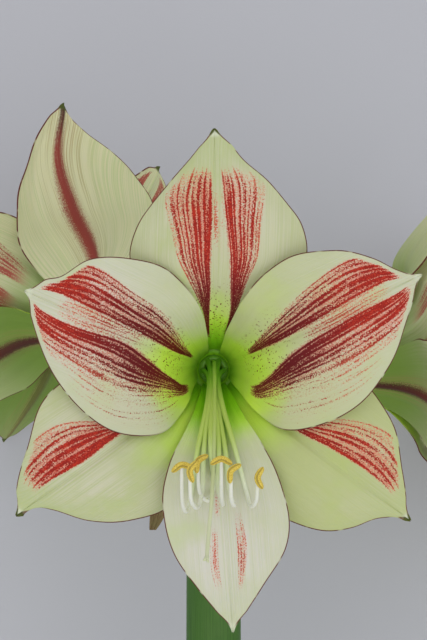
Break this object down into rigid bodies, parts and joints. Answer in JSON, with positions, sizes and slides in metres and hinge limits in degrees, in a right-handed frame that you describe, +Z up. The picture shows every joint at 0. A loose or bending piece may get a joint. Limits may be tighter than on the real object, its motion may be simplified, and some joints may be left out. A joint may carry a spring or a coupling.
{
  "type": "cut amaryllis",
  "caption": "Cut amaryllis lying down: a leafless hollow scape with an umbel of large funnel-shaped blooms, cream tepals striped red and a green throat.",
  "frame": {"origin": "centre of the bounding box's underside, on the surface that the flower lies on", "axes": "+Y along the scape from its cut end to the blooms, +Z up, out of the surface; the front bloom faces up"},
  "size_m": [0.3566, 0.5858, 0.2603],
  "materials": {
    "scape": "satin",
    "spathe": "matte",
    "tube": "satin",
    "sepal": "satin",
    "petal": "satin",
    "stamens": "satin",
    "style": "satin"
  },
  "bodies": {
    "root": {"scape": "scape", "left_spathe_valve": "spathe", "right_spathe_valve": "spathe", "front_flower_tube": "tube", "front_top_sepal": "sepal", "front_lower_left_sepal": "sepal", "front_lower_right_sepal": "sepal", "front_upper_left_petal": "petal", "front_upper_right_petal": "petal", "front_bottom_petal": "petal", "front_stamens": "stamens", "front_style": "style", "left_flower_tube": "tube", "left_top_sepal": "sepal", "left_lower_left_sepal": "sepal", "left_lower_right_sepal": "sepal", "left_upper_left_petal": "petal", "left_upper_right_petal": "petal", "left_bottom_petal": "petal", "left_stamens": "stamens", "left_style": "style", "right_flower_tube": "tube", "right_top_sepal": "sepal", "right_lower_left_sepal": "sepal", "right_lower_right_sepal": "sepal", "right_upper_left_petal": "petal", "right_upper_right_petal": "petal", "right_bottom_petal": "petal", "right_stamens": "stamens", "right_style": "style"}
  },
  "joints": []
}
